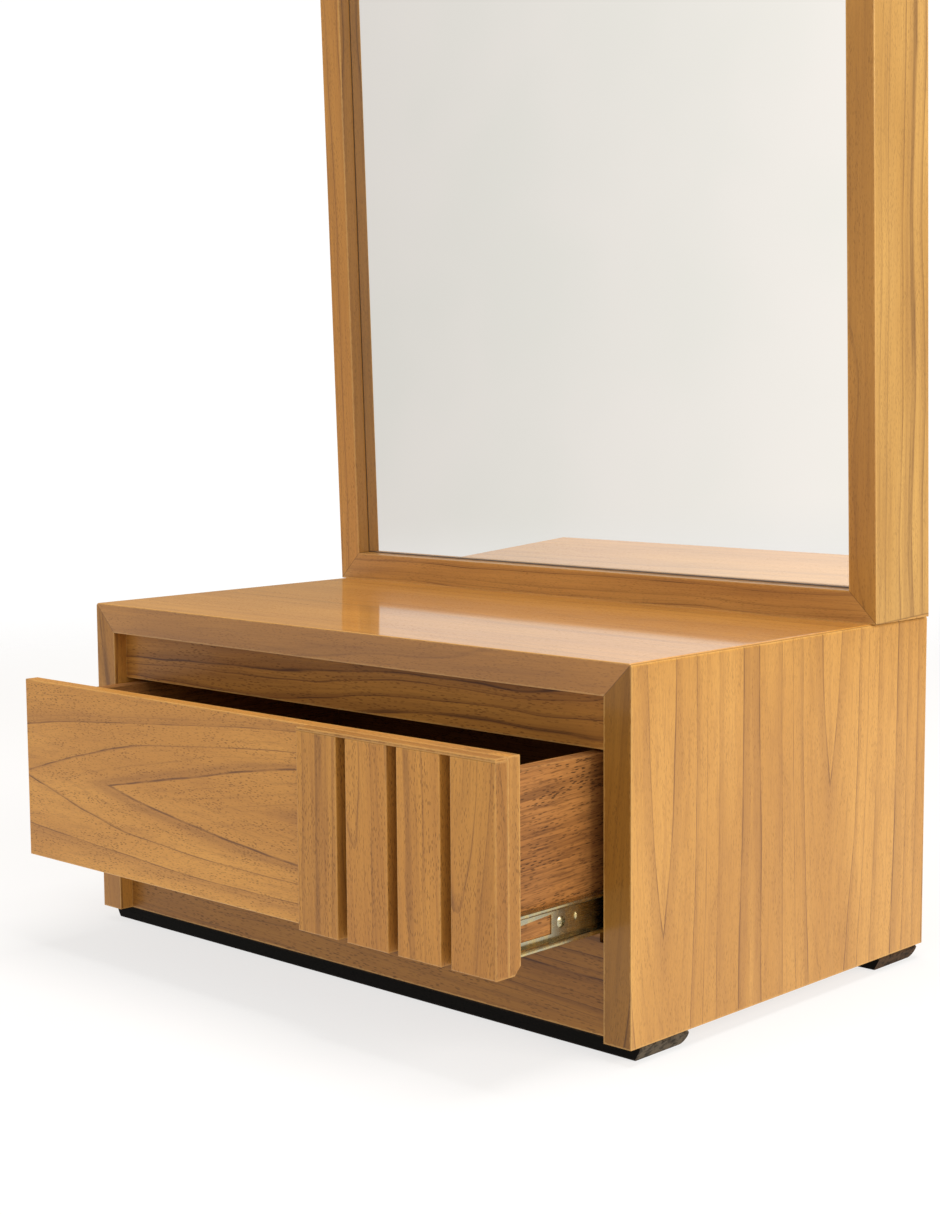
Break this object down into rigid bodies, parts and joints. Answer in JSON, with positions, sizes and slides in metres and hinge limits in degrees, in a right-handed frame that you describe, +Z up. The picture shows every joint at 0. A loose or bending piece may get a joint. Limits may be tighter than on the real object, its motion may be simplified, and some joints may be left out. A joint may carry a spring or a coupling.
{
  "type": "vanity table with mirror",
  "caption": "Low teak-veneered vanity cabinet with a part-slatted drawer on ball-bearing slides, black runners below, and a deep mirror frame leaning forward from its top.",
  "frame": {"origin": "on the floor, in the middle of the width, midway between the open drawer's slat fronts and the cabinet's back edge", "axes": "+Z up, +X to the right seen from the front, and the drawer opens towards -Y"},
  "size_m": [0.607, 0.481, 1],
  "materials": {
    "teak_veneer": "satin lacquered teak veneer",
    "teak_solid": "satin lacquered teak",
    "mahogany_ply": "thinly lacquered mahogany-faced plywood",
    "plywood": "bare thin plywood",
    "softwood": "bare planed softwood",
    "hardboard": "bare hardboard",
    "dark_stain": "dark stained wood",
    "black_lacquer": "satin black lacquer on wood",
    "zinc_steel": "bright zinc plated rolled steel",
    "yellow_zinc": "yellow zinc plated steel",
    "cage_steel": "plain pressed steel",
    "ball_steel": "polished bearing steel",
    "mirror_glass": "silvered mirror glass"
  },
  "bodies": {
    "cabinet": {"top_panel": "teak_veneer", "left_side_panel": "teak_veneer", "right_side_panel": "teak_veneer", "front_upper_rail": "teak_solid", "front_lower_rail": "teak_solid", "rear_upper_rail": "softwood", "rear_lower_rail": "softwood", "corner_blocks": "softwood", "base_board": "plywood", "base_cleats": "softwood", "back_panel": "plywood", "front_runner": "black_lacquer", "rear_runner": "black_lacquer", "runner_screws": "zinc_steel", "mirror_bottom_member": "teak_veneer", "mirror_top_member": "teak_veneer", "mirror_left_member": "teak_veneer", "mirror_right_member": "teak_veneer", "mirror_glass": "mirror_glass", "mirror_backing_board": "hardboard", "mirror_battens": "softwood", "mirror_fixing_screws": "zinc_steel", "mirror_fixing_washers": "zinc_steel", "left_slide_outer_rail": "zinc_steel", "right_slide_outer_rail": "zinc_steel", "left_cabinet_slide_screws": "yellow_zinc", "right_cabinet_slide_screws": "yellow_zinc"},
    "drawer": {"drawer_front_panel": "teak_veneer", "slat_1": "teak_solid", "slat_2": "teak_solid", "slat_3": "teak_solid", "slat_4": "teak_solid", "slat_cap": "teak_solid", "groove_strips": "dark_stain", "drawer_inner_front": "mahogany_ply", "drawer_left_side": "mahogany_ply", "drawer_right_side": "mahogany_ply", "drawer_back": "mahogany_ply", "drawer_floor": "plywood", "front_fixing_screws": "yellow_zinc", "left_slide_inner_rail": "zinc_steel", "right_slide_inner_rail": "zinc_steel", "left_drawer_slide_screws": "yellow_zinc", "right_drawer_slide_screws": "yellow_zinc"},
    "left_middle": {"left_slide_middle_rail": "zinc_steel"},
    "left_outer_cage": {"left_outer_ball_cage": "cage_steel", "left_outer_balls": "ball_steel"},
    "left_inner_cage": {"left_inner_ball_cage": "cage_steel", "left_inner_balls": "ball_steel"},
    "right_middle": {"right_slide_middle_rail": "zinc_steel"},
    "right_outer_cage": {"right_outer_ball_cage": "cage_steel", "right_outer_balls": "ball_steel"},
    "right_inner_cage": {"right_inner_ball_cage": "cage_steel", "right_inner_balls": "ball_steel"}
  },
  "joints": [
    {"name": "drawer_slide", "type": "slide", "parent": "cabinet", "child": "drawer", "axis": [0, -1, 0], "range_m": [-0.094, 0.246]},
    {"name": "left_outer_cage_slide", "type": "slide", "parent": "cabinet", "child": "left_outer_cage", "axis": [0, -1, 0], "range_m": [-0.0235, 0.0615]},
    {"name": "left_middle_slide", "type": "slide", "parent": "cabinet", "child": "left_middle", "axis": [0, -1, 0], "range_m": [-0.047, 0.123]},
    {"name": "left_inner_cage_slide", "type": "slide", "parent": "cabinet", "child": "left_inner_cage", "axis": [0, -1, 0], "range_m": [-0.0705, 0.1845]},
    {"name": "right_outer_cage_slide", "type": "slide", "parent": "cabinet", "child": "right_outer_cage", "axis": [0, -1, 0], "range_m": [-0.0235, 0.0615]},
    {"name": "right_middle_slide", "type": "slide", "parent": "cabinet", "child": "right_middle", "axis": [0, -1, 0], "range_m": [-0.047, 0.123]},
    {"name": "right_inner_cage_slide", "type": "slide", "parent": "cabinet", "child": "right_inner_cage", "axis": [0, -1, 0], "range_m": [-0.0705, 0.1845]}
  ],
  "couplings": [
    {"joint": "left_outer_cage_slide", "follows": "drawer_slide", "ratio": 0.25},
    {"joint": "left_middle_slide", "follows": "drawer_slide", "ratio": 0.5},
    {"joint": "left_inner_cage_slide", "follows": "drawer_slide", "ratio": 0.75},
    {"joint": "right_outer_cage_slide", "follows": "drawer_slide", "ratio": 0.25},
    {"joint": "right_middle_slide", "follows": "drawer_slide", "ratio": 0.5},
    {"joint": "right_inner_cage_slide", "follows": "drawer_slide", "ratio": 0.75}
  ]
}
